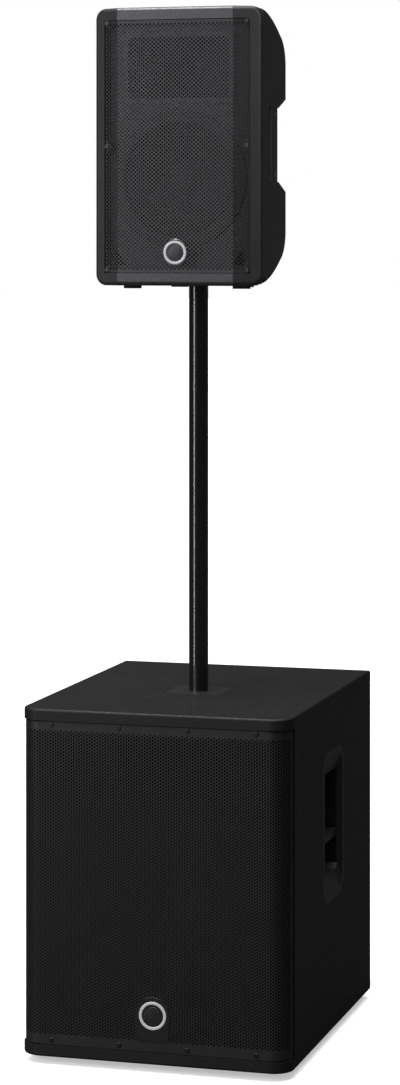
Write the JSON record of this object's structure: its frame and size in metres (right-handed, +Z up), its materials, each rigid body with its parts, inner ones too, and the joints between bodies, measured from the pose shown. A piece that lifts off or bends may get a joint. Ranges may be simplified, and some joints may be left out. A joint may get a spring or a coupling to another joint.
{
  "type": "pa speaker",
  "caption": "Powered two-way loudspeaker on a pole above a grille-fronted subwoofer, with side grips and swivelling top.",
  "frame": {"origin": "centre of the bounding box on the floor, under the subwoofer", "axes": "+Z up, +X to the right seen from the front, fronts face -Y"},
  "size_m": [0.485, 0.614, 1.839],
  "materials": {
    "cabinet": "plywood under black textured paint",
    "bare_ply": "bare plywood",
    "grille_steel": "black powder-coated perforated steel",
    "top_grille_steel": "dark grey powder-coated perforated steel",
    "foam": "open-cell acoustic foam",
    "black_screw": "black zinc",
    "bright_screw": "zinc",
    "badge": "gloss black with a white ring",
    "black_plastic": "moulded, fine grain",
    "rubber": "matt",
    "rubber_grip": "grained",
    "cast_alloy": "black painted",
    "magnet": "ferrite and plated steel",
    "cone_paper": "coated paper",
    "cone_cloth": "resin-dipped cloth",
    "amp_plate": "black painted",
    "heatsink": "black anodised",
    "circuit_board": "solder mask and parts",
    "knob_plastic": "soft touch",
    "pole_gloss": "gloss black",
    "shell_plastic": "moulded with a fine leather-like grain",
    "horn_plastic": "smooth"
  },
  "bodies": {
    "root": {"sub_top_panel": "cabinet", "sub_bottom_panel": "cabinet", "sub_left_panel": "cabinet", "sub_right_panel": "cabinet", "sub_rear_panel": "cabinet", "sub_baffle": "cabinet", "sub_brace": "bare_ply", "sub_grille": "grille_steel", "sub_grille_foam": "foam", "sub_grille_screws": "black_screw", "sub_badge": "badge", "sub_port_tubes": "black_plastic", "sub_handle_left": "black_plastic", "sub_handle_right": "black_plastic", "sub_handle_screws": "black_screw", "sub_pole_socket": "black_plastic", "sub_socket_screws": "black_screw", "sub_feet": "rubber", "sub_woofer_basket": "cast_alloy", "sub_woofer_magnet": "magnet", "sub_woofer_surround": "rubber", "sub_woofer_spider": "cone_cloth", "sub_amp_plate": "amp_plate", "sub_amp_heatsink": "heatsink", "sub_amp_board": "circuit_board", "sub_transformer": "magnet", "sub_amp_screws": "black_screw", "sub_xlr_sockets": "black_plastic", "sub_power_inlet": "black_plastic"},
    "sub_cone": {"sub_woofer_cone": "cone_paper"},
    "sub_level": {"sub_level_knob": "knob_plastic"},
    "sub_polarity": {"sub_polarity_switch": "knob_plastic"},
    "sub_filter": {"sub_filter_switch": "knob_plastic"},
    "sub_power": {"sub_power_switch": "knob_plastic"},
    "pole": {"pole_tube": "pole_gloss", "pole_end_plugs": "black_plastic"},
    "top_cone": {"speaker_woofer_cone": "cone_paper"},
    "top_level_1": {"speaker_level_knob_1": "knob_plastic"},
    "top_level_2": {"speaker_level_knob_2": "knob_plastic"},
    "top_eq": {"speaker_eq_switch": "knob_plastic"},
    "top_power": {"speaker_power_switch": "knob_plastic"},
    "speaker": {"speaker_front": "shell_plastic", "speaker_rear_shell": "shell_plastic", "speaker_grille": "top_grille_steel", "speaker_grille_screws": "black_screw", "speaker_badge": "badge", "speaker_horn": "horn_plastic", "speaker_hf_driver": "magnet", "speaker_woofer_basket": "cast_alloy", "speaker_woofer_magnet": "magnet", "speaker_woofer_surround": "rubber", "speaker_handle_grip": "rubber_grip", "speaker_handle_screws": "bright_screw", "speaker_pole_socket": "black_plastic", "speaker_feet": "rubber", "speaker_amp_plate": "amp_plate", "speaker_amp_board": "circuit_board", "speaker_amp_screws": "black_screw", "speaker_sockets": "black_plastic", "speaker_power_inlet": "black_plastic"}
  },
  "joints": [
    {"name": "sub_cone_travel", "type": "slide", "parent": "root", "child": "sub_cone", "axis": [0, -1, 0], "range_m": [-0.008, 0.008], "stiffness_N_per_m": 3000, "deforming": ["sub_woofer_surround", "sub_woofer_spider"]},
    {"name": "sub_level_turn", "type": "hinge", "parent": "root", "child": "sub_level", "pos_m": [0.06, 0.3, 0.452], "axis": [0, 1, 0], "range_deg": [-150, 150]},
    {"name": "sub_polarity_slide", "type": "slide", "parent": "root", "child": "sub_polarity", "axis": [1, 0, 0], "range_m": [0, 0.005]},
    {"name": "sub_filter_slide", "type": "slide", "parent": "root", "child": "sub_filter", "axis": [1, 0, 0], "range_m": [0, 0.005]},
    {"name": "sub_power_rock", "type": "hinge", "parent": "root", "child": "sub_power", "pos_m": [-0.02, 0.2965, 0.15], "axis": [1, 0, 0], "range_deg": [-6, 6]},
    {"name": "pole_lift", "type": "slide", "parent": "root", "child": "pole", "axis": [0, 0, 1], "range_m": [0, 0.09]},
    {"name": "speaker_swivel", "type": "hinge", "parent": "pole", "child": "speaker", "pos_m": [0, -0.021, 1.39], "axis": [0, 0, 1], "continuous": true},
    {"name": "speaker_cone_travel", "type": "slide", "parent": "speaker", "child": "top_cone", "axis": [0, -1, 0], "range_m": [-0.005, 0.005], "stiffness_N_per_m": 2000, "deforming": ["speaker_woofer_surround"]},
    {"name": "speaker_level_1_turn", "type": "hinge", "parent": "speaker", "child": "top_level_1", "pos_m": [-0.038, 0.106, 1.76], "axis": [0, 1, 0], "range_deg": [-150, 150]},
    {"name": "speaker_level_2_turn", "type": "hinge", "parent": "speaker", "child": "top_level_2", "pos_m": [0, 0.106, 1.76], "axis": [0, 1, 0], "range_deg": [-150, 150]},
    {"name": "speaker_eq_slide", "type": "slide", "parent": "speaker", "child": "top_eq", "axis": [1, 0, 0], "range_m": [0, 0.005]},
    {"name": "speaker_power_rock", "type": "hinge", "parent": "speaker", "child": "top_power", "pos_m": [0.026, 0.10475, 1.47], "axis": [1, 0, 0], "range_deg": [-6, 6]}
  ]
}
